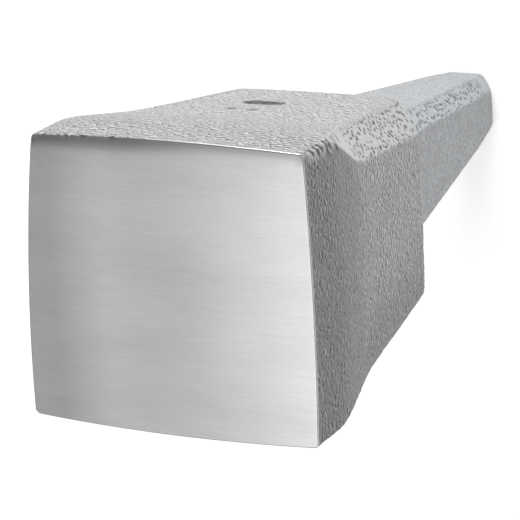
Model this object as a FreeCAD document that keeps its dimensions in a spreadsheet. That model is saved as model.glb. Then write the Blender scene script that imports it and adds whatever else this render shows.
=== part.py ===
import FreeCAD, Part
import math
import os

import Sketcher

# Square-headed stake anvil. Millimetres, +Z up through the working face.
# The origin is the middle of the flat shoulder seat, where the tang leaves the body.
# +X and +Y point at two neighbouring sides. The forging dies parted on the diagonal
# through the +X+Y and -X-Y corner edges, so those two edges were cut flat by trimming.

SIZES = {
    # working plate: crowned face over a straight lip with slightly bowed sides
    "plate_half": 40.0,
    "plate_bow": 1.1,
    "plate_flare": 5.6,
    "plate_thickness": 19.5,
    "plate_corner_cut": 1.1,
    "plate_corner_radius": 1.2,
    "face_crown_radius": 1100.0,
    "face_edge_radius": 0.8,
    # body: steep taper from the lip to the waist, then a shallow one to the shoulder
    "body_height": 80.5,
    "waist_height": 55.0,
    "waist_half": 35.2,
    "waist_bow": 0.6,
    "shoulder_height": 2.0,
    "shoulder_half": 29.0,
    "shoulder_bow": 0.4,
    "seat_half": 27.4,
    "trim_cut_x": 6.0,
    "trim_cut_y": 10.2,
    "body_corner_radius": 2.0,
    # plain oblong recess and two punched dimples on the +Y side
    "mark_x": -6.4,
    "mark_height": 28.0,
    "mark_half_straight": 2.6,
    "mark_radius": 3.1,
    "mark_depth": 0.7,
    "mark_clearance": 1.0,
    "dimple_half_pitch": 3.5,
    "dimple_radius": 1.7,
    "dimple_rise": 13.0,
    # tang: square spike with a blunt tip, welded on below its root
    "tang_root_half_x": 20.3,
    "tang_root_half_y": 20.8,
    "tang_root_cut_x": 5.0,
    "tang_root_cut_y": 6.3,
    "tang_root_length": 3.0,
    "tang_tip_half_x": 8.2,
    "tang_tip_half_y": 9.2,
    "tang_tip_cut_x": 2.6,
    "tang_tip_cut_y": 5.6,
    "tang_length": 105.0,
    "tang_corner_radius": 1.8,
    "tang_tip_radius": 2.4,
}

doc = FreeCAD.newDocument("stake_anvil")


def make_sheet():
    """Spreadsheet that holds every size under its own name."""
    sheet = doc.addObject("Spreadsheet::Sheet", "sizes")
    for row, (name, value) in enumerate(SIZES.items(), start=1):
        sheet.set(f"A{row}", name)
        sheet.set(f"B{row}", str(value))
        sheet.setAlias(f"B{row}", name)
    doc.recompute()


# A length is a pair: its value, and the spreadsheet formula that keeps it up to date.


def size(name):
    """The length held on the spreadsheet under this name."""
    return SIZES[name], f"sizes.{name}"


def minus(first, second):
    """First length less the second."""
    return first[0] - second[0], f"({first[1]} - {second[1]})"


def negative(length):
    """The same length measured the other way."""
    return -length[0], f"-{length[1]}"


ZERO = (0.0, "0")


def plane(body, role):
    """The body's own origin plane with this role."""
    for feature in body.Origin.OriginFeatures:
        if feature.Role == role:
            return feature
    raise LookupError(role)


def new_sketch(body, name, role):
    """Empty sketch lying on one of the body's own origin planes."""
    sketch = body.newObject("Sketcher::SketchObject", name)
    sketch.AttachmentSupport = [(plane(body, role), "")]
    sketch.MapMode = "FlatFace"
    return sketch


def drive(sketch, constraint, formula):
    """Add a dimension and bind it to a formula on the spreadsheet."""
    index = sketch.addConstraint(constraint)
    sketch.setExpression(f"Constraints[{index}]", formula)


def pin_point(sketch, edge, end, x, y):
    """Hold one end or the centre of an edge at two lengths from the sketch's origin."""
    drive(sketch, Sketcher.Constraint("DistanceX", -1, 1, edge, end, x[0]), x[1])
    drive(sketch, Sketcher.Constraint("DistanceY", -1, 1, edge, end, y[0]), y[1])


def side_edge(start, end, rise):
    """Edge between two points: an arc that rises outwards by this much, or a line."""
    if rise == 0:
        return Part.LineSegment(start, end)
    outward = FreeCAD.Vector(end.y - start.y, start.x - end.x, 0).normalize()
    return Part.Arc(start, (start + end) / 2 + outward * rise, end)


def square_section(body, name, height, half, cut, rounding, bow=ZERO, flare=ZERO):
    """Square outline: two opposite corners cut flat, the other two rounded.

    half and cut are pairs, along X and along Y: the half-widths and what the cut takes off.
    Each side stands out by bow at its middle. The -X-Y corner stands out by flare towards -X.
    """
    sketch = new_sketch(body, name, "XY_Plane")
    sketch.setExpression("AttachmentOffset.Base.z", height[1])
    right, top = half
    left, bottom = negative(right), negative(top)
    near_x, near_y = minus(right, cut[0]), minus(top, cut[1])
    inset_x, inset_y = minus(right, rounding), minus(top, rounding)
    # Each corner point, anticlockwise, with the kind of edge that leaves it.
    corners = [
        (right, near_y, "cut"),
        (near_x, top, "side"),
        (negative(inset_x), top, "rounding"),
        (left, inset_y, "side"),
        (minus(left, flare), negative(near_y), "cut"),
        (minus(negative(near_x), flare), bottom, "side"),
        (inset_x, bottom, "rounding"),
        (right, negative(inset_y), "side"),
    ]
    rises = {"cut": 0, "side": bow[0], "rounding": rounding[0] * (1 - math.sqrt(0.5))}
    points = [FreeCAD.Vector(x[0], y[0], 0) for x, y, _ in corners]
    for i, (x, y, kind) in enumerate(corners):
        following = (i + 1) % len(corners)
        sketch.addGeometry(side_edge(points[i], points[following], rises[kind]), False)
    for i, (x, y, kind) in enumerate(corners):
        following = (i + 1) % len(corners)
        sketch.addConstraint(Sketcher.Constraint("Coincident", i, 2, following, 1))
        pin_point(sketch, i, 1, x, y)
        if kind == "rounding":
            drive(sketch, Sketcher.Constraint("Radius", i, rounding[0]), rounding[1])
        if kind == "side" and bow != ZERO:
            run = minus(corners[following][0], x)
            climb = minus(corners[following][1], y)
            chord_squared = f"({run[1]} ^ 2 + {climb[1]} ^ 2)"
            radius = Sketcher.Constraint("Radius", i, sketch.Geometry[i].Radius)
            drive(sketch, radius, f"({chord_squared} / 4 + {bow[1]} ^ 2) / (2 * {bow[1]})")
    return sketch


def lip_section(body, name):
    """Outline shared by the plate and the top of the body, where the two meet."""
    return square_section(
        body,
        name,
        height=size("body_height"),
        half=(size("plate_half"), size("plate_half")),
        cut=(size("plate_corner_cut"), size("plate_corner_cut")),
        rounding=size("plate_corner_radius"),
        bow=size("plate_bow"),
        flare=size("plate_flare"),
    )


def body_section(body, name, height, half, bow):
    """Outline of the body at a height below the lip."""
    return square_section(
        body,
        name,
        height=height,
        half=(size(half), size(half)),
        cut=(size("trim_cut_x"), size("trim_cut_y")),
        rounding=size("body_corner_radius"),
        bow=size(bow),
    )


def tang_section(body, name, depth):
    """Outline of the tapering tang at a depth below the shoulder seat."""

    def at_depth(kind):
        root, tip, length = size(f"tang_root_{kind}"), size(f"tang_tip_{kind}"), size("tang_length")
        value = root[0] - (root[0] - tip[0]) * depth[0] / length[0]
        return value, f"({root[1]} - ({root[1]} - {tip[1]}) * {depth[1]} / {length[1]})"

    return square_section(
        body,
        name,
        height=negative(depth),
        half=(at_depth("half_x"), at_depth("half_y")),
        cut=(at_depth("cut_x"), at_depth("cut_y")),
        rounding=size("tang_corner_radius"),
    )


def loft_sections(body, name, sections):
    """Solid with straight-ruled sides through the sections in order."""
    loft = body.newObject("PartDesign::AdditiveLoft", name)
    loft.Profile = (sections[0], [""])
    loft.Sections = [(section, [""]) for section in sections[1:]]
    loft.Ruled = True
    doc.recompute()
    return loft


def round_edges(body, name, base, chosen, radius):
    """Fillet on those edges of an earlier feature that the test chooses."""
    edges = [f"Edge{i}" for i, edge in enumerate(base.Shape.Edges, start=1) if chosen(edge)]
    fillet = body.newObject("PartDesign::Fillet", name)
    fillet.Base = (base, edges)
    fillet.setExpression("Radius", radius[1])
    doc.recompute()


def require_cut(before, after):
    """Stop if a cutting feature removed nothing."""
    removed = before.Shape.Volume - after.Shape.Volume
    if removed < 0.5:
        raise RuntimeError(f"{after.Name} removed only {removed:.3f} cubic millimetres")


def build_crown_ball():
    """Great ball whose top is the crowned face. Its poles lie level, well clear of the face."""
    body = doc.addObject("PartDesign::Body", "crown_ball")
    ball = body.newObject("PartDesign::AdditiveSphere", "ball")
    ball.AttachmentSupport = [(plane(body, "XY_Plane"), "")]
    ball.MapMode = "FlatFace"
    quarter_turn = FreeCAD.Rotation(FreeCAD.Vector(1, 0, 0), 90)
    ball.AttachmentOffset = FreeCAD.Placement(FreeCAD.Vector(0, 0, 0), quarter_turn)
    ball.setExpression(
        "AttachmentOffset.Base.z",
        "sizes.body_height + sizes.plate_thickness - sizes.face_crown_radius",
    )
    ball.setExpression("Radius", "sizes.face_crown_radius")
    doc.recompute()
    return body


def build_face_plate():
    """Hardened square plate: straight lip below a crowned, ground face."""
    body = doc.addObject("PartDesign::Body", "face_plate")
    body.Label = "face_plate"
    block = body.newObject("PartDesign::Pad", "plate_block")
    block.Profile = lip_section(body, "plate_outline")
    block.setExpression("Length", "sizes.plate_thickness + 1")
    doc.recompute()
    crown = body.newObject("PartDesign::Boolean", "crown")
    crown.Type = "Common"
    crown.setObjects([build_crown_ball()])
    doc.recompute()
    require_cut(block, crown)
    mid_plate = SIZES["body_height"] + SIZES["plate_thickness"] / 2
    round_edges(
        body,
        "ground_rim",
        crown,
        lambda edge: edge.BoundBox.ZMin > mid_plate,
        size("face_edge_radius"),
    )
    return body


def mark_sketch(body):
    """Oblong recess and two round dimples, drawn just off the sloping skin of the +Y side."""
    sketch = new_sketch(body, "marks_outline", "XZ_Plane")
    rise = minus(size("waist_height"), size("shoulder_height"))
    spread = minus(size("waist_half"), size("shoulder_half"))
    lean = math.degrees(math.atan(spread[0] / rise[0]))
    turn = FreeCAD.Rotation(FreeCAD.Vector(-1, 0, 0), lean)
    sketch.AttachmentOffset = FreeCAD.Placement(FreeCAD.Vector(0, 0, 0), turn)
    slope = f"({spread[1]} / {rise[1]})"
    climb = "(sizes.mark_height - sizes.shoulder_height)"
    skin = f"(sizes.shoulder_half + sizes.shoulder_bow + {slope} * {climb})"
    sketch.setExpression("AttachmentOffset.Rotation.Angle", f"atan({slope})")
    sketch.setExpression("AttachmentOffset.Base.x", "sizes.mark_x")
    sketch.setExpression("AttachmentOffset.Base.y", "sizes.mark_height")
    sketch.setExpression("AttachmentOffset.Base.z", f"-{skin} - sizes.mark_clearance")
    draw_oblong(sketch, size("mark_half_straight"), size("mark_radius"))
    pitch = size("dimple_half_pitch")
    dimple_rise = size("dimple_rise")
    dimple_radius = size("dimple_radius")
    for across in (pitch, negative(pitch)):
        centre = FreeCAD.Vector(across[0], dimple_rise[0], 0)
        ring = Part.Circle(centre, FreeCAD.Vector(0, 0, 1), dimple_radius[0])
        circle = sketch.addGeometry(ring, False)
        pin_point(sketch, circle, 3, across, dimple_rise)
        drive(sketch, Sketcher.Constraint("Radius", circle, dimple_radius[0]), dimple_radius[1])
    return sketch


def draw_oblong(sketch, half_straight, radius):
    """Slot shape lying along the sketch's x, centred on its origin."""
    x = half_straight[0]
    r = radius[0]
    right_low = FreeCAD.Vector(x, -r, 0)
    right_high = FreeCAD.Vector(x, r, 0)
    left_high = FreeCAD.Vector(-x, r, 0)
    left_low = FreeCAD.Vector(-x, -r, 0)
    sketch.addGeometry(Part.Arc(right_low, FreeCAD.Vector(x + r, 0, 0), right_high), False)
    sketch.addGeometry(Part.LineSegment(right_high, left_high), False)
    sketch.addGeometry(Part.Arc(left_high, FreeCAD.Vector(-x - r, 0, 0), left_low), False)
    sketch.addGeometry(Part.LineSegment(left_low, right_low), False)
    for i in range(4):
        sketch.addConstraint(Sketcher.Constraint("Tangent", i, 2, (i + 1) % 4, 1))
    sketch.addConstraint(Sketcher.Constraint("Horizontal", 1))
    sketch.addConstraint(Sketcher.Constraint("Symmetric", 0, 3, 2, 3, -1, 1))
    drive(sketch, Sketcher.Constraint("DistanceX", -1, 1, 0, 3, x), half_straight[1])
    drive(sketch, Sketcher.Constraint("Radius", 0, r), radius[1])


def build_body():
    """Waisted block under the lip, with the flat shoulder seat and the root of the tang."""
    body = doc.addObject("PartDesign::Body", "body")
    body.Label = "body"
    lip = lip_section(body, "lip_outline")
    waist = body_section(body, "waist_outline", size("waist_height"), "waist_half", "waist_bow")
    shoulder = body_section(
        body, "shoulder_outline", size("shoulder_height"), "shoulder_half", "shoulder_bow"
    )
    seat = body_section(body, "seat_outline", ZERO, "seat_half", "shoulder_bow")
    block = loft_sections(body, "waisted_block", [seat, shoulder, waist, lip])
    marks = body.newObject("PartDesign::Pocket", "marks")
    marks.Profile = mark_sketch(body)
    marks.Reversed = True
    marks.setExpression("Length", "sizes.mark_depth + sizes.mark_clearance")
    doc.recompute()
    require_cut(block, marks)
    root = tang_section(body, "root_outline", ZERO)
    weld = tang_section(body, "weld_outline", size("tang_root_length"))
    loft_sections(body, "tang_root", [root, weld])
    return body


def build_tang():
    """Square tapered spike below the root, which is driven into the stump."""
    body = doc.addObject("PartDesign::Body", "tang")
    body.Label = "tang"
    weld = tang_section(body, "weld_outline", size("tang_root_length"))
    tip = tang_section(body, "tip_outline", size("tang_length"))
    spike = loft_sections(body, "spike", [weld, tip])
    lowest = -SIZES["tang_length"] + 0.01
    round_edges(
        body,
        "tip_edge",
        spike,
        lambda edge: edge.BoundBox.ZMax < lowest,
        size("tang_tip_radius"),
    )
    return body


def check_model(nodes):
    """Every object computed, every shape present and valid, every node one solid."""
    for item in doc.Objects:
        if "Invalid" in item.State or "Error" in item.State:
            raise RuntimeError(f"{item.Name} is {item.State}")
        if item.isDerivedFrom("PartDesign::Feature"):
            if item.Shape.isNull() or not item.Shape.isValid():
                raise RuntimeError(f"{item.Name} has no valid shape")
    for node in nodes:
        shape = node.Shape
        if shape.isNull() or not shape.isValid() or len(shape.Solids) != 1:
            raise RuntimeError(f"{node.Label} is not one valid solid")


make_sheet()
nodes = [build_face_plate(), build_body(), build_tang()]
doc.recompute()
check_model(nodes)
os.makedirs("parts", exist_ok=True)
for node in nodes:
    node.Shape.exportStep(f"parts/{node.Label}.step")
    print(node.Label, round(node.Shape.Volume), "cubic millimetres")
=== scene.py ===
import math

import bpy
import numpy as np
from mathutils import Matrix, Vector


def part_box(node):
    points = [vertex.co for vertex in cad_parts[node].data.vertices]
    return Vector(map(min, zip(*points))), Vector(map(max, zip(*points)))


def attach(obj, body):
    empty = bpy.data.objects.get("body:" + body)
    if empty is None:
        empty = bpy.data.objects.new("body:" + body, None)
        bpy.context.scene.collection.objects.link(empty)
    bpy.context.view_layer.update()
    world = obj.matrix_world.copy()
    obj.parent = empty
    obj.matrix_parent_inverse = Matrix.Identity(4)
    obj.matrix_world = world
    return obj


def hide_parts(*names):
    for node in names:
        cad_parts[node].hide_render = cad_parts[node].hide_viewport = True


# Square-headed stake anvil. All shapes below are in millimetres and are turned into metres
# when they become meshes. +Z leaves the ground working face, the tang points down.

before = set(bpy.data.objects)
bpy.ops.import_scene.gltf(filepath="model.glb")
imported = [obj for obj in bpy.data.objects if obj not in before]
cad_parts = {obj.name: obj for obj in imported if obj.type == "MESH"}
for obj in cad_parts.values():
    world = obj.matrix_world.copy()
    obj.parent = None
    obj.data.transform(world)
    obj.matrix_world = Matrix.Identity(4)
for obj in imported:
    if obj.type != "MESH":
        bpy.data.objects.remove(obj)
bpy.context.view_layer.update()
MM = 0.001

plate_lo, plate_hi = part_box("face_plate")
tang_lo, tang_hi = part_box("tang")
TOP_Z = plate_hi.z / MM
LIP_Z = plate_lo.z / MM
ROOT_Z = tang_hi.z / MM
TIP_Z = tang_lo.z / MM
LIP_BOW = 1.1
HEAD_HALF = plate_hi.y / MM - LIP_BOW

# ---------------------------------------------------------------- outline sizes, in mm
CROWN_RADIUS = 1100.0
WAIST_Z = 55.0
SHOULDER_HALF = 29.0
WAIST_HALF = 35.2
TRIM_CUT = (6.0, 10.2)
LIP_CUT = (1.0, 1.0)
LIP_FLARE = 5.6
RIM_RADIUS = 0.4
SHOULDER_ROUND = 3.2
SHOULDER_INSET = 2.0
TANG_ROOT_HALF = (20.3, 20.8)
TANG_ROOT_CUT = (5.0, 6.3)
TANG_TIP_HALF = (8.2, 9.2)
TANG_TIP_CUT = (2.6, 5.6)
TANG_LENGTH = 105.0
TIP_ROUND = 3.6
TIP_SOFT_LENGTH = 22.0
TIP_WEAR = 420
ROOT_FILLET = 1.2
ROLL_WIDTH = 5.0
ROLL_DROP = 0.4
# how far the -X side stands out at the waist and at the lip, and the -Y side at the shoulder
FILL = 0.9
LIP_FILL = 0.4
HEEL_FILL = 0.7
FILL_Z = 52.0
FILL_LENGTH = 18.0
# a cut's length grows by this share of the outline's growth, so that its flat moves out equally
CUT_GROWTH = 0.586
MARK_X = -6.4
MARK_Z = 28.0
MARK_HALF_STRAIGHT = 2.9
DIMPLE_PITCH = 7.0
DIMPLE_RISE = 13.0

# ---------------------------------------------------------------- relief sizes, in mm
WARP_SIZE = 3.4
WARP_REACH = 0.8
SKIN_CELL = 2.4
SKIN_SQUEEZE_Z = 1.3
SKIN_LINE = 0.75
SKIN_RELIEF = 0.15
GRAIN_SIZE = 1.3
GRAIN_RELIEF = 0.03
TANG_SKIN_SHARE = 0.3
PIT_CELL = 1.5
PIT_DEPTH = 0.3
MARK_DEPTH = 0.75
DIMPLE_DEPTH = 0.6
TORN_DEPTH = 0.35
TORN_HALF_WIDTH = 0.45
# torn strokes where the trimmed corner starts, hooked down the +X side: z at the edge, length
TORN = [
    (94.0, 1.4), (90.9, 2.6), (88.8, 1.8), (85.6, 4.2),
    (83.4, 2.6), (79.2, 5.8), (76.6, 3.6), (71.8, 5.0),
]

# ---------------------------------------------------------------- seeds of the noise fields
WARP_SEEDS = (11, 12, 13)
SKIN_SEED = 21
PIT_SEED = 23
GRAIN_SEED = 42
NET_BREAK_SEED = 43
EDGE_SEED = 51
# slow waves of the forged skin and of the ground face: depth and size in mm, seed
SWELL = [(0.08, 21.0, 31), (0.04, 8.0, 32)]
FACE_WAVE = [(0.012, 17.0, 33), (0.004, 6.0, 34)]

# ---------------------------------------------------------------- steel colours, and skin net in m
NET_CELL = 0.0023
NET_WANDER = 0.0019
NET_WIDTH = 0.24
SQUEEZE = 1.45
PAINTED_SHADE_LIFT = 0.0006
SKIN_METAL = 0.35
# grey of the painted shade and of the painted light along the skin lines, of the trimmed flats, and the
# tint of them all
BODY_LOOK = (0.04, 0.55, 0.43, (0.99, 1.0, 1.012))
TANG_LOOK = (0.18, 0.45, 0.40, (0.97, 1.0, 1.033))
PIT_COLOUR = 0.12
MARK_COLOUR = 0.06
TIP_SHADE_COLOUR = 0.14
BRUSHED = 0.4
# share of its brightness that the rim of the +Y edge loses to painted shade
RIM_PAINTED_SHADE = 0.34
# strength of the -X-Y corner's trimmed flat, which the photograph doesn't show
FAINT_BAND = 0.6

# ---------------------------------------------------------------- studio: lengths in m
CAMERA_PLACE = (0.36676, 0.24271, 0.75535)
CAMERA_RIGHT = (0.89423, -0.05606, -0.44408)
CAMERA_UP = (-0.08539, 0.95254, -0.29221)
CAMERA_BACK = (0.43938, 0.29922, 0.84700)
CAMERA_LENS = 207.69
CAMERA_SENSOR = 36.0
WORLD_STRENGTH = 0.27
FLOOR_REACH = 6.0
FLOOR_GLOW = 0.5
# name, place, aimed at, width, depth, radiance
SOFTBOXES = [
    ("top_softbox", (0.0, -0.59, 1.15), (0.0, -0.59, 0.0), 0.9, 1.08, 1.45),
    ("strip_softbox", (-0.71, -0.59, 1.15), (-0.71, -0.59, 0.0), 0.1, 1.08, 1.0),
    ("overhead_softbox", (0.0, 1.1, 0.25), (0.0, 0.0, 0.0), 0.9, 0.8, 7.5),
]

# ---------------------------------------------------------------- samples around a ring
SIDE_SAMPLES = 138
CUT_SAMPLES = 26
CORNER_SAMPLES = 10
COUNTS = [CUT_SAMPLES, SIDE_SAMPLES, CORNER_SAMPLES, SIDE_SAMPLES] * 2
RING = sum(COUNTS)

# passes of smoothing along a ring
LIP_PASSES = 3
BODY_PASSES = 9
TANG_PASSES = 12

# samples of each zone from the tang's tip to the middle of the face
TIP_SAMPLES = 9
TIP_ARC_SAMPLES = 8
TANG_SAMPLES = 114
ROOT_SAMPLES = 4
FILLET_SAMPLES = 5
SEAT_SAMPLES = 8
SHOULDER_SAMPLES = 7
BODY_SAMPLES = 137
LIP_SAMPLES = 31
RIM_SAMPLES = 9
FACE_SAMPLES = 47
POLE_SHARE = 0.004


# ---------------------------------------------------------------- noise
def tables(seed):
    rng = np.random.default_rng(seed)
    order = rng.permutation(256)
    return np.concatenate([order, order]), rng.normal(size=(256, 3)), rng.random((256, 3))


def hashed(order, cell):
    x, y, z = (cell[..., k] & 255 for k in range(3))
    return order[order[order[x] + y] + z]


def noise(points, size, seed):
    """Smooth gradient noise, about -1 to 1, with features of this size in mm."""
    order, slopes, _ = tables(seed)
    slopes = slopes / np.linalg.norm(slopes, axis=1, keepdims=True)
    scaled = points / size
    base = np.floor(scaled).astype(int)
    inner = scaled - base
    ease = inner**3 * (inner * (inner * 6 - 15) + 10)
    total = np.zeros(points.shape[:-1])
    for corner in np.ndindex(2, 2, 2):
        step = np.array(corner)
        slope = slopes[hashed(order, base + step)]
        share = np.prod(np.where(step == 1, ease, 1 - ease), axis=-1)
        total += share * np.sum(slope * (inner - step), axis=-1)
    return total * 1.6


def cells(points, size, seed, flat=False):
    """Distances in mm to the nearest and second nearest cell centres, and a random number per cell.

    A flat pattern has all its centres in the plane of the first two coordinates.
    """
    order, _, jitter = tables(seed)
    if flat:
        points = points * (1, 1, 0)
        jitter = jitter * (1, 1, 0)
    scaled = points / size
    base = np.floor(scaled).astype(int)
    first = np.full(points.shape[:-1], 9.0)
    second = first.copy()
    draw = np.zeros_like(first)
    for offset in np.ndindex(3, 3, 3):
        cell = base + np.array(offset) - 1
        key = hashed(order, cell)
        gap = np.linalg.norm(cell + jitter[key] - scaled, axis=-1)
        nearer = gap < first
        second = np.where(nearer, first, np.minimum(second, gap))
        draw = np.where(nearer, jitter[(key * 7 + 3) & 255][..., 0], draw)
        first = np.where(nearer, gap, first)
    return first * size, second * size, draw


def fade(value, start, end):
    """0 at start, 1 at end, smooth between."""
    t = np.clip((value - start) / (end - start), 0, 1)
    return t * t * (3 - 2 * t)


def rounded_line(z, knots, values, widths):
    """Broken line through the knots with each inner kink rounded over its width."""
    slopes = np.diff(values) / np.diff(knots)
    out = values[0] + slopes[0] * (z - knots[0])
    for i, width in enumerate(widths, start=1):
        out = out + (slopes[i] - slopes[i - 1]) * width * np.logaddexp(0, (z - knots[i]) / width)
    return out


# ---------------------------------------------------------------- rows of the one long grid
def ring(half, cut, rounding, bow, flare, fill=0.0, heel=0.0):
    """Closed outline, anticlockwise from the +X end of the +X+Y trimmed corner.

    half and cut are pairs, along X and along Y. The -X side stands out by fill,
    and by flare more at its -Y end. The -Y side stands out by heel.
    """
    right, top = half
    near_x, near_y = right - cut[0], top - cut[1]
    inset_x, inset_y = right - rounding, top - rounding
    corners = [
        (right, near_y),
        (near_x, top),
        (-inset_x - fill, top),
        (-right - fill, inset_y),
        (-right - fill - flare, -near_y),
        (-near_x - fill - flare, -top - heel),
        (inset_x, -top - heel),
        (right, -inset_y - heel),
    ]
    round_rise = rounding * (1 - math.sqrt(0.5))
    rises = [0, bow, round_rise, bow, 0, bow, round_rise, bow]
    points = []
    for i, (count, rise) in enumerate(zip(COUNTS, rises)):
        start = np.array(corners[i])
        along = np.array(corners[(i + 1) % 8]) - start
        outward = np.array([along[1], -along[0]]) / np.linalg.norm(along)
        t = (np.arange(count) / count)[:, None]
        points.append(start + along * t + outward * rise * 4 * t * (1 - t))
    return np.concatenate(points)


def body_ring(z, inset=0.0):
    knots = [0, WAIST_Z, LIP_Z, TOP_Z]
    half = rounded_line(z, knots, [SHOULDER_HALF - 0.2, WAIST_HALF, HEAD_HALF, HEAD_HALF], [2.4, 2.4])
    share = rounded_line(z, knots, [0, 0, 1, 1], [2.0, 1.3])
    bow = 0.4 + 0.2 * min(z / WAIST_Z, 1) + 0.5 * share
    cut = [low + (high - low) * share for low, high in zip(TRIM_CUT, LIP_CUT)]
    rounding = 2.0 - 0.8 * share
    return ring(
        (half - inset, half - inset),
        [max(length - CUT_GROWTH * inset, 0.5) for length in cut],
        max(rounding - inset, 0.3),
        bow,
        LIP_FLARE * share,
        FILL * math.exp(-(((z - FILL_Z) / FILL_LENGTH) ** 2)) + LIP_FILL * share,
        HEEL_FILL * (1 - fade(z, 6.0, 50.0)),
    )


def tang_ring(z, grow=0.0):
    share = min(max(-z / TANG_LENGTH, 0), 1)
    half = [root + (tip - root) * share + grow for root, tip in zip(TANG_ROOT_HALF, TANG_TIP_HALF)]
    cut = [
        root + (tip - root) * share + CUT_GROWTH * grow for root, tip in zip(TANG_ROOT_CUT, TANG_TIP_CUT)
    ]
    return ring(half, cut, max(1.8 + grow, 0.4), 0.0, 0.0)


def crown(flat):
    """Height of the crowned face over these points.

    It rolls off a little towards the +Y edge, less so near the +X end of that edge.
    """
    sphere = TOP_Z - CROWN_RADIUS + np.sqrt(CROWN_RADIUS**2 - np.sum(flat**2, axis=-1))
    near_edge = np.clip(1 - (HEAD_HALF + 0.4 - flat[..., 1]) / ROLL_WIDTH, 0, 1)
    drop = ROLL_DROP * (1.5 - 1.2 * fade(flat[..., 0], -28.0, 22.0))
    return sphere - drop * near_edge**2


rows = []


def add_row(flat, height):
    rows.append(np.column_stack([flat, np.broadcast_to(height, RING)]))


def smooth_ring(flat, passes=LIP_PASSES):
    """Outline after this many passes of a (1, 2, 1) / 4 average around the ring."""
    waves = np.fft.rfft(flat, axis=0)
    keep = np.cos(math.pi * np.arange(len(waves)) / RING) ** (2 * passes)
    return np.fft.irfft(waves * keep[:, None], RING, axis=0)


def tang_row(z, grow=0.0):
    """Outline of the tang, its corners worn rounder towards the tip."""
    worn = 1 - min((z - TIP_Z) / TIP_SOFT_LENGTH, 1)
    return smooth_ring(tang_ring(z, grow), TANG_PASSES + int(TIP_WEAR * worn**3))


tip_flat = tang_row(TIP_Z, -TIP_ROUND)
for share in np.linspace(0.0, 0.93, TIP_SAMPLES):
    add_row(tip_flat * share, TIP_Z)
for angle in np.linspace(0, math.pi / 2, TIP_ARC_SAMPLES):
    height = TIP_Z + TIP_ROUND * (1 - math.cos(angle))
    add_row(tang_row(height, -TIP_ROUND * (1 - math.sin(angle))), height)
for height in np.linspace(TIP_Z + TIP_ROUND, ROOT_Z, TANG_SAMPLES)[1:]:
    add_row(tang_row(height), height)
TANG_ROWS = len(rows)
for height in np.linspace(ROOT_Z, -ROOT_FILLET, ROOT_SAMPLES)[1:]:
    add_row(smooth_ring(tang_ring(height), TANG_PASSES), height)
for angle in np.linspace(0, math.pi / 2, FILLET_SAMPLES)[1:]:
    grow = ROOT_FILLET * (1 - math.cos(angle))
    add_row(smooth_ring(tang_ring(0, grow), TANG_PASSES), -ROOT_FILLET * (1 - math.sin(angle)))
seat_inner = rows[-1][:, :2]
seat_outer = smooth_ring(body_ring(0, SHOULDER_INSET), BODY_PASSES)
for share in np.linspace(0, 1, SEAT_SAMPLES)[1:]:
    add_row(seat_inner + (seat_outer - seat_inner) * share, 0)
SEAT_ROWS = len(rows)
for angle in np.linspace(0, math.pi / 2, SHOULDER_SAMPLES)[1:]:
    height = SHOULDER_ROUND * (1 - math.cos(angle))
    flat = body_ring(height, SHOULDER_INSET * (1 - math.sin(angle)))
    add_row(smooth_ring(flat, BODY_PASSES), height)
for height in np.linspace(SHOULDER_ROUND, LIP_Z, BODY_SAMPLES)[1:]:
    passes = LIP_PASSES + int((BODY_PASSES - LIP_PASSES) * (1 - fade(height, 50, 66)))
    add_row(smooth_ring(body_ring(height), passes), height)
BODY_ROWS = len(rows)
rim_inner = smooth_ring(body_ring(TOP_Z, RIM_RADIUS))
rim_low = crown(rim_inner) - RIM_RADIUS
for share in np.linspace(0, 1, LIP_SAMPLES)[1:]:
    heights = LIP_Z + (rim_low - LIP_Z) * share
    add_row(smooth_ring(body_ring(LIP_Z + (TOP_Z - LIP_Z) * share)), heights)
LIP_ROWS = len(rows)
for angle in np.linspace(0, math.pi / 2, RIM_SAMPLES)[1:]:
    flat = smooth_ring(body_ring(TOP_Z, RIM_RADIUS * (1 - math.cos(angle))))
    add_row(flat, rim_low + RIM_RADIUS * math.sin(angle))
RIM_ROWS = len(rows)
for share in np.linspace(1, 0, FACE_SAMPLES)[1:-1]:
    add_row(rim_inner * share, crown(rim_inner * share))
add_row(rim_inner * POLE_SHARE, crown(rim_inner * POLE_SHARE))
grid = np.array(rows)
TOTAL_ROWS = len(rows)


def grid_normals(points):
    around = np.roll(points, -1, 1) - np.roll(points, 1, 1)
    upward = np.gradient(points, axis=0)
    normals = np.cross(around, upward)
    length = np.linalg.norm(normals, axis=-1, keepdims=True)
    return normals / np.maximum(length, 1e-9)


# ---------------------------------------------------------------- masks over the grid
row_index = np.arange(TOTAL_ROWS)[:, None] + np.zeros(RING)
column = np.arange(RING)


def cut_mask(start):
    """1 on a trimmed corner flat, fading over a few samples at its first edge and more at its last."""
    distance = (column - (start + CUT_SAMPLES / 2) + RING / 2) % RING - RING / 2
    low_side = fade(distance, -CUT_SAMPLES / 2 - 1.0, -CUT_SAMPLES / 2 + 2.0)
    return low_side * (1 - fade(distance, CUT_SAMPLES / 2 - 6.0, CUT_SAMPLES / 2 + 3.0))


opposite = CUT_SAMPLES + SIDE_SAMPLES + CORNER_SAMPLES + SIDE_SAMPLES
band = np.broadcast_to(cut_mask(0) + FAINT_BAND * cut_mask(opposite), (TOTAL_ROWS, RING)).copy()
z_of = grid[..., 2]
on_tang = row_index < TANG_ROWS
forged = 1 - fade(row_index, LIP_ROWS - 4.0, LIP_ROWS)
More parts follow.
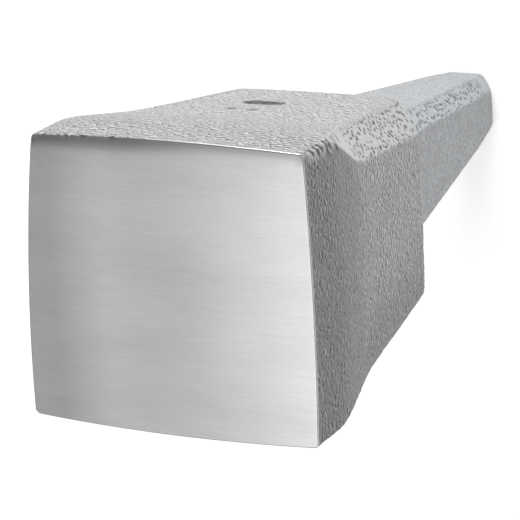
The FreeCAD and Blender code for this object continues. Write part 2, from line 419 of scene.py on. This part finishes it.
# the ground steel reaches round the rim, except along the -X part of the +Y edge
edge_x = grid[..., 0] + 5 * noise(grid, 9.0, EDGE_SEED)
late = 7.0 * (1 - fade(edge_x, -16.0, 2.0)) * (grid[..., 1] > 37.0)
ground = fade(row_index - late, LIP_ROWS - 2.0, LIP_ROWS + 1.0)
band *= fade(row_index, 12.0, 20.0) * (1 - fade(z_of, 78.0, 84.0))
seat = (row_index >= TANG_ROWS + 3) & (row_index < SEAT_ROWS)
band[seat] = 0

normals = grid_normals(grid)
warp = np.stack([noise(grid, WARP_SIZE, seed) for seed in WARP_SEEDS], axis=-1)
warped = (grid + warp * WARP_REACH) * (1.0, 1.0, SKIN_SQUEEZE_Z)
near, far, _ = cells(warped, SKIN_CELL, SKIN_SEED)
unbroken = 0.45 + 0.55 * fade(noise(grid, 4.0, NET_BREAK_SEED), -0.4, 0.3)
ridge = np.clip(np.exp(-(((far - near) / SKIN_LINE) ** 2)) * unbroken, 0, 1)
grain = noise(grid, GRAIN_SIZE, GRAIN_SEED)

skin = SKIN_RELIEF * (ridge - 0.4) + GRAIN_RELIEF * grain
skin_weight = np.where(on_tang, TANG_SKIN_SHARE, 1.0) * forged * (1 - 0.8 * band)
skin_weight = skin_weight * np.where(normals[..., 1] > 0.75, 0.5, 1.0)

across = (grid[..., 0] - grid[..., 1]) * math.sqrt(0.5) * 0.8
band_plane = np.stack([across, z_of, np.zeros_like(z_of)], axis=-1) + warp * 0.5
pit_near, _, pit_draw = cells(band_plane, PIT_CELL, PIT_SEED, flat=True)
pit_zone = band * np.where(on_tang, 0.6, 1 - fade(z_of, 53.0, 61.0)) * fade(row_index, 20.0, 30.0)
pit_zone = pit_zone * np.where((z_of > 0) & (z_of < 5.0), fade(z_of, 2.0, 4.0), 1)
pit_size = (0.34 + 0.34 * pit_draw) * np.where(on_tang, 1.3, 1.0)
pits = pit_zone * (1 - fade(pit_near / pit_size, 0.25, 0.85)) * (pit_draw > 0.1)

swell = sum(depth * noise(grid, size, seed) for depth, size, seed in SWELL)
face_wave = sum(depth * noise(grid, size, seed) for depth, size, seed in FACE_WAVE)

height = swell * forged * np.where(row_index < 18, 0.3, 1.0)
height = height + skin * skin_weight - PIT_DEPTH * pits
height = height + face_wave * (1 - forged)


# plain recess and two dimples on the +Y side
def oblong(points, centre_x, centre_z, half_straight):
    """Distance in mm from the middle line of an oblong on the +Y side."""
    x = points[..., 0] - centre_x
    beyond = np.maximum(np.abs(x) - half_straight, 0)
    return np.hypot(beyond, points[..., 2] - centre_z)


facing_y = normals[..., 1] > 0.8
from_mark = oblong(grid, MARK_X, MARK_Z, MARK_HALF_STRAIGHT)
recess = (1 - fade(from_mark, 2.6, 3.4)) * facing_y
dimples = np.zeros_like(recess)
mark = (1 - fade(from_mark, 3.0, 3.8)) * facing_y
for x in (MARK_X - DIMPLE_PITCH / 2, MARK_X + DIMPLE_PITCH / 2):
    from_dimple = oblong(grid, x, MARK_Z + DIMPLE_RISE, 0.0)
    dimples = np.maximum(dimples, (1 - fade(from_dimple, 0.5, 1.8)) * facing_y)
    mark = np.maximum(mark, 0.8 * (1 - fade(from_dimple, 0.9, 2.2)) * facing_y)
height = height * (1 - 0.7 * recess) - MARK_DEPTH * recess - DIMPLE_DEPTH * dimples

# torn strokes, with a pale worn zone between them
edge_drop = np.maximum(HEAD_HALF - grid[..., 1], 0)
facing_x = fade(normals[..., 0], 0.45, 0.8) * (grid[..., 0] > 30)
torn = np.zeros_like(recess)
for torn_z, length in TORN:
    off = z_of + 0.6 * edge_drop + 0.7 * warp[..., 0] - torn_z
    stroke = np.exp(-((off / TORN_HALF_WIDTH) ** 2)) * (1 - fade(edge_drop, 0.6 * length, length + 1.5))
    torn = np.maximum(torn, stroke)
torn = torn * facing_x * forged
torn_zone = fade(z_of, 66.0, 72.0) * (1 - fade(z_of, 94.0, 97.0)) * facing_x
torn_zone = torn_zone * (1 - fade(edge_drop, 1.5, 4.5))
height = height - TORN_DEPTH * torn
pits = np.maximum(pits, torn)
band = np.maximum(band, 0.7 * torn_zone * (1 - torn))

# painted reflection and shade on the ground face: a painted bright strip and a painted dark edge on the
# -X side, a painted dark patch in the middle, and a painted bright +X side
x_of = grid[..., 0]
from_middle = np.hypot((x_of - 4.0) / 11.0, (grid[..., 1] + 4.0) / 26.0)
painted_face_light = 0.09 * np.exp(-(((x_of + 20.0) / 7.0) ** 2)) - 0.11 * np.exp(-(from_middle**2))
painted_face_light = painted_face_light - 0.10 * np.exp(-(((x_of + 37.0) / 6.0) ** 2)) + 0.05 * fade(x_of, 18.0, 40.0)
# painted shade: the rim of the +Y edge is coloured darker than the face
on_rim = fade(row_index, LIP_ROWS - 1.0, LIP_ROWS + 1.0)
on_rim = on_rim * (1 - fade(row_index, RIM_ROWS - 1.0, RIM_ROWS + 2.0))
painted_face_light = painted_face_light - RIM_PAINTED_SHADE * on_rim * fade(grid[..., 1], 36.0, 38.5)

# painted shade on the rounded end of the tang's tip
tip_painted_shade = 1 - fade(z_of, TIP_Z + 1.2, TIP_Z + 3.2)
# painted shade, kept in the scale attribute: darker on the steep taper and towards the -Y edge of the +X
# side, most where the skin faces +X
scale = np.maximum(fade(z_of, 48.0, 68.0), 0.8 * fade(-grid[..., 1], 4.0, 30.0) * (z_of > 0))
scale = scale * (0.35 + 0.65 * fade(normals[..., 0], 0.5, 0.9)) * (1 - band)

shape = grid + normals * height[..., None]
shape_normals = grid_normals(shape)
shape_normals[0] = (0, 0, -1)
shape_normals[-1] = (0, 0, 1)


# ---------------------------------------------------------------- meshes
def grid_faces(count):
    index = np.arange(count * RING).reshape(count, RING)
    after = np.roll(index, -1, 1)
    quads = np.stack([index[:-1], after[:-1], after[1:], index[1:]], axis=-1)
    return quads.reshape(-1, 4).tolist()


def make_piece(name, first, last, cap_low, cap_high, node):
    """Closed mesh from a range of rows. A capped end is a flat fan, an uncapped one is a pole."""
    part = shape[first:last]
    part_normals = shape_normals[first:last]
    verts = part.reshape(-1, 3)
    vert_normals = part_normals.reshape(-1, 3)
    faces = grid_faces(last - first)
    values = {
        "ridge": ridge[first:last],
        "band": band[first:last],
        "pit": pits[first:last],
        "ground": ground[first:last],
        "mark": mark[first:last],
        "tip": tip_painted_shade[first:last],
        # scale carries painted shade
        "scale": scale[first:last],
        "painted_face_light": painted_face_light[first:last],
    }
    extra, extra_normals = [], []

    def fan(loop, facing, rim_points):
        if rim_points:
            start = len(verts) + len(extra)
            extra.extend(rim_points)
            extra_normals.extend([facing] * len(rim_points))
            loop = list(range(start, start + len(rim_points)))
        centre = len(verts) + len(extra)
        points = rim_points if rim_points else [verts[i] for i in loop]
        extra.append(np.mean(points, axis=0))
        extra_normals.append(facing)
        for i, here in enumerate(loop):
            following = loop[(i + 1) % RING]
            if facing[2] > 0:
                faces.append([here, following, centre])
            else:
                faces.append([following, here, centre])

    low_loop = list(range(RING))
    high_loop = list(range((last - first - 1) * RING, (last - first) * RING))
    fan(low_loop, (0.0, 0.0, -1.0), [verts[i] for i in low_loop] if cap_low else None)
    fan(high_loop, (0.0, 0.0, 1.0), [verts[i] for i in high_loop] if cap_high else None)
    verts = np.concatenate([verts, np.array(extra)])
    vert_normals = np.concatenate([vert_normals, np.array(extra_normals)])
    mesh = bpy.data.meshes.new(name)
    mesh.from_pydata((verts * MM).tolist(), [], faces)
    mesh.update()
    for key, value in values.items():
        flat = np.zeros(len(verts), np.float32)
        flat[: value.size] = value.ravel()
        if key in ("ground", "painted_face_light") and not cap_high:
            flat[value.size:] = value.ravel()[-1]
        attribute = mesh.attributes.new(key, "FLOAT", "POINT")
        attribute.data.foreach_set("value", flat)
    mesh.polygons.foreach_set("use_smooth", [True] * len(mesh.polygons))
    mesh.normals_split_custom_set_from_vertices(vert_normals.tolist())
    piece = bpy.data.objects.new(name, mesh)
    bpy.context.scene.collection.objects.link(piece)
    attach(piece, "root")
    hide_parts(node)
    return piece


tang_piece = make_piece("tang_spike", 1, TANG_ROWS, False, True, "tang")
body_piece = make_piece("forged_body", TANG_ROWS - 1, BODY_ROWS, True, True, "body")
face_piece = make_piece("face_block", BODY_ROWS - 1, TOTAL_ROWS, True, False, "face_plate")


# ---------------------------------------------------------------- materials
class Shader:
    """Small helper that adds nodes to one material and wires them."""

    def __init__(self, name):
        self.material = bpy.data.materials.new(name)
        self.material.use_nodes = True
        self.tree = self.material.node_tree
        self.tree.nodes.clear()
        self.output = self.tree.nodes.new("ShaderNodeOutputMaterial")
        self.where = self.add("ShaderNodeTexCoord").outputs["Object"]

    def add(self, kind, inputs=None, **settings):
        node = self.tree.nodes.new(kind)
        for key, value in settings.items():
            setattr(node, key, value)
        for key, value in (inputs or {}).items():
            if isinstance(value, bpy.types.NodeSocket):
                self.tree.links.new(value, node.inputs[key])
            else:
                node.inputs[key].default_value = value
        return node

    def wrinkles(self, lift=0.0):
        """1 along the wandering net of skin lines, 0 between them. Lengths in metres.

        The net is looked up at a point lifted along Z.
        """
        bend = self.add(
            "ShaderNodeTexNoise", {"Vector": self.where, "Scale": 0.7 / NET_CELL, "Detail": 2.0}
        )
        centred = self.add(
            "ShaderNodeVectorMath", {0: bend.outputs["Color"], 1: (0.5, 0.5, 0.5)}, operation="SUBTRACT"
        )
        moved = self.add(
            "ShaderNodeVectorMath",
            {0: centred.outputs[0], 1: (NET_WANDER, NET_WANDER, NET_WANDER), 2: self.where},
            operation="MULTIPLY_ADD",
        )
        squeezed = self.add(
            "ShaderNodeVectorMath",
            {0: moved.outputs[0], 1: (1, 1, SQUEEZE), 2: (0, 0, lift * SQUEEZE)},
            operation="MULTIPLY_ADD",
        )
        net = self.add(
            "ShaderNodeTexVoronoi",
            {"Vector": squeezed.outputs[0], "Scale": 1 / NET_CELL},
            feature="DISTANCE_TO_EDGE",
        )
        return self.ramp(net.outputs["Distance"], 0.0, NET_WIDTH, 1.0, 0.0)

    def attribute(self, name):
        return self.add("ShaderNodeAttribute", attribute_name=name).outputs["Fac"]

    def noise(self, scale, detail=3.0, stretch=(1, 1, 1), rough=0.55):
        mapping = self.add("ShaderNodeMapping", {"Vector": self.where, "Scale": stretch})
        texture = self.add(
            "ShaderNodeTexNoise",
            {"Vector": mapping.outputs[0], "Scale": scale, "Detail": detail, "Roughness": rough},
        )
        return texture.outputs["Fac"]

    def ramp(self, value, low, high, out_low, out_high):
        node = self.add(
            "ShaderNodeMapRange",
            {"Value": value, "From Min": low, "From Max": high, "To Min": out_low, "To Max": out_high},
        )
        return node.outputs["Result"]

    def math(self, operation, first, second):
        return self.add("ShaderNodeMath", {0: first, 1: second}, operation=operation).outputs[0]

    def vary(self, value, driver, out_low, out_high, low=0.3, high=0.7):
        """Value times a factor that runs from out_low to out_high as the driver runs from low to high."""
        return self.math("MULTIPLY", value, self.ramp(driver, low, high, out_low, out_high))

    def mix(self, share, first, second):
        node = self.add("ShaderNodeMix", {0: share, 2: first, 3: second}, data_type="FLOAT")
        return node.outputs[0]

    def tint(self, value, colour):
        """Grey value turned into a slightly tinted colour."""
        combine = self.add("ShaderNodeCombineColor")
        for channel, factor in zip(("Red", "Green", "Blue"), colour):
            self.tree.links.new(self.math("MULTIPLY", value, factor), combine.inputs[channel])
        return combine.outputs[0]

    def bump(self, height, distance, strength=1.0, normal=None):
        inputs = {"Height": height, "Distance": distance, "Strength": strength}
        if normal is not None:
            inputs["Normal"] = normal
        return self.add("ShaderNodeBump", inputs).outputs[0]


def skin_values(shader, dark, light, trim, tint):
    """Colour, roughness and bumped normal of forged skin with its trimmed bands and pits, and with
    painted light and shade along its skin lines, on its +X side and at the tang's tip.
    """
    blotch = shader.noise(90, 4)
    fine = shader.noise(900, 5)
    band = shader.attribute("band")
    broken = shader.ramp(shader.noise(300, 2), 0.38, 0.6, 0.35, 1.0)
    net = shader.wrinkles()
    # painted relief shading: the net minus the net lifted along Z paints a lit side and a shaded side
    # along each skin line
    painted_ridge_shading = shader.math("SUBTRACT", net, shader.wrinkles(PAINTED_SHADE_LIFT))
    painted_ridge_shading = shader.math("MULTIPLY", painted_ridge_shading, broken)
    # dark is the grey of the painted shade, light the grey of the painted light
    value = shader.ramp(painted_ridge_shading, -0.7, 0.8, dark, light)
    # painted shade: the cells between the skin lines are coloured darker and the lines lighter
    value = shader.vary(value, shader.attribute("ridge"), 0.94, 1.12, 0.1, 0.9)
    value = shader.vary(value, blotch, 0.94, 1.06)
    value = shader.vary(value, fine, 0.86, 1.14)
    # painted shade from the scale attribute, darkening the +X-facing skin
    value = shader.vary(value, shader.attribute("scale"), 1.0, 0.62, 0, 1)
    trimmed = shader.math("MULTIPLY", shader.ramp(fine, 0.3, 0.7, 0.88, 1.12), trim)
    value = shader.mix(band, value, trimmed)
    pit = shader.ramp(shader.attribute("pit"), 0.05, 0.5, 0, 1)
    value = shader.mix(pit, value, PIT_COLOUR)
    mark = shader.ramp(shader.attribute("mark"), 0.0, 0.9, 0, 0.85)
    value = shader.mix(mark, value, MARK_COLOUR)
    # painted shade on the tang's tip
    value = shader.mix(shader.attribute("tip"), value, TIP_SHADE_COLOUR)
    rough = shader.ramp(blotch, 0.3, 0.7, 0.44, 0.52)
    rough = shader.mix(band, rough, 0.42)
    rough = shader.mix(shader.math("MAXIMUM", pit, mark), rough, 0.75)
    relief = shader.math("MULTIPLY", net, shader.ramp(band, 0, 0.8, 1, 0.1))
    normal = shader.bump(fine, 0.00012)
    normal = shader.bump(relief, 0.0001, 1.0, normal)
    return shader.tint(value, tint), rough, normal


def ground_values(shader):
    """Colour, roughness and bumped normal of the belt-ground face, with brush lines along X."""
    streak = shader.noise(1, 4, (120, 4200, 120), 0.6)
    broad = shader.noise(1, 3, (40, 900, 40), 0.6)
    blotch = shader.noise(50, 3, (0.5, 1.5, 1.0))
    value = shader.ramp(streak, 0.25, 0.75, 0.605, 0.695)
    value = shader.vary(value, broad, 0.975, 1.025)
    value = shader.vary(value, blotch, 0.955, 1.045)
    # painted reflection and shade of the ground face and its rim
    value = shader.math("MULTIPLY", value, shader.math("ADD", shader.attribute("painted_face_light"), 1.0))
    unevenness = shader.ramp(blotch, 0.3, 0.7, -0.008, 0.008)
    rough = shader.math("ADD", shader.ramp(streak, 0.2, 0.8, 0.27, 0.33), unevenness)
    normal = shader.bump(streak, 0.000006)
    return shader.tint(value, (1.0, 1.0, 1.0)), rough, normal


def surface(shader, colour, rough, normal, metallic, brushed=0.0):
    inputs = {"Base Color": colour, "Roughness": rough, "Normal": normal, "Metallic": metallic}
    if brushed:
        inputs["Anisotropic"] = brushed
        inputs["Tangent"] = shader.add("ShaderNodeCombineXYZ", {"X": 1.0}).outputs[0]
    return shader.add("ShaderNodeBsdfPrincipled", inputs).outputs[0]


def forged_material(name, look):
    shader = Shader(name)
    skin = surface(shader, *skin_values(shader, *look), SKIN_METAL)
    shader.tree.links.new(skin, shader.output.inputs["Surface"])
    return shader.material


def face_material():
    shader = Shader("ground_face_steel")
    skin = surface(shader, *skin_values(shader, *BODY_LOOK), SKIN_METAL)
    polished = surface(shader, *ground_values(shader), 1.0, BRUSHED)
    both = shader.add("ShaderNodeMixShader", {0: shader.attribute("ground"), 1: skin, 2: polished})
    shader.tree.links.new(both.outputs[0], shader.output.inputs["Surface"])
    return shader.material


face_piece.data.materials.append(face_material())
body_piece.data.materials.append(forged_material("forged_skin", BODY_LOOK))
tang_piece.data.materials.append(forged_material("tang_skin", TANG_LOOK))


# ---------------------------------------------------------------- floor, light and camera
def make_floor():
    mesh = bpy.data.meshes.new("studio_floor")
    corners = [(-1, -1), (1, -1), (1, 1), (-1, 1)]
    verts = [(x * FLOOR_REACH, y * FLOOR_REACH, tang_lo.z) for x, y in corners]
    mesh.from_pydata(verts, [], [(0, 1, 2, 3)])
    floor = bpy.data.objects.new("studio_floor", mesh)
    bpy.context.scene.collection.objects.link(floor)
    shader = Shader("pale_floor")
    value = shader.ramp(shader.noise(3, 2), 0.3, 0.7, 0.84, 0.88)
    base = shader.tint(value, (1, 1, 1))
    inputs = {
        "Base Color": base,
        "Roughness": 0.9,
        "Emission Color": (1, 1, 1, 1),
        "Emission Strength": FLOOR_GLOW,
    }
    bsdf = shader.add("ShaderNodeBsdfPrincipled", inputs)
    shader.tree.links.new(bsdf.outputs[0], shader.output.inputs["Surface"])
    mesh.materials.append(shader.material)


def area_light(name, place, target, width, depth, radiance):
    lamp = bpy.data.lights.new(name, "AREA")
    lamp.shape = "RECTANGLE"
    lamp.size = width
    lamp.size_y = depth
    lamp.energy = radiance * math.pi * width * depth
    holder = bpy.data.objects.new(name, lamp)
    holder.location = place
    aim = Vector(target) - Vector(place)
    holder.rotation_mode = "QUATERNION"
    holder.rotation_quaternion = aim.to_track_quat("-Z", "Y")
    bpy.context.scene.collection.objects.link(holder)


def make_camera():
    data = bpy.data.cameras.new("photo_camera")
    data.sensor_width = CAMERA_SENSOR
    data.lens = CAMERA_LENS
    camera = bpy.data.objects.new("photo_camera", data)
    turn = Matrix((CAMERA_RIGHT, CAMERA_UP, CAMERA_BACK)).transposed().to_4x4()
    camera.matrix_world = Matrix.Translation(CAMERA_PLACE) @ turn
    bpy.context.scene.collection.objects.link(camera)
    bpy.context.scene.camera = camera


make_floor()
for softbox in SOFTBOXES:
    area_light(*softbox)
world = bpy.data.worlds.new("studio")
world.use_nodes = True
world.node_tree.nodes["Background"].inputs["Color"].default_value = (1, 1, 1, 1)
world.node_tree.nodes["Background"].inputs["Strength"].default_value = WORLD_STRENGTH
bpy.context.scene.world = world
bpy.context.scene.view_settings.view_transform = "Standard"
make_camera()
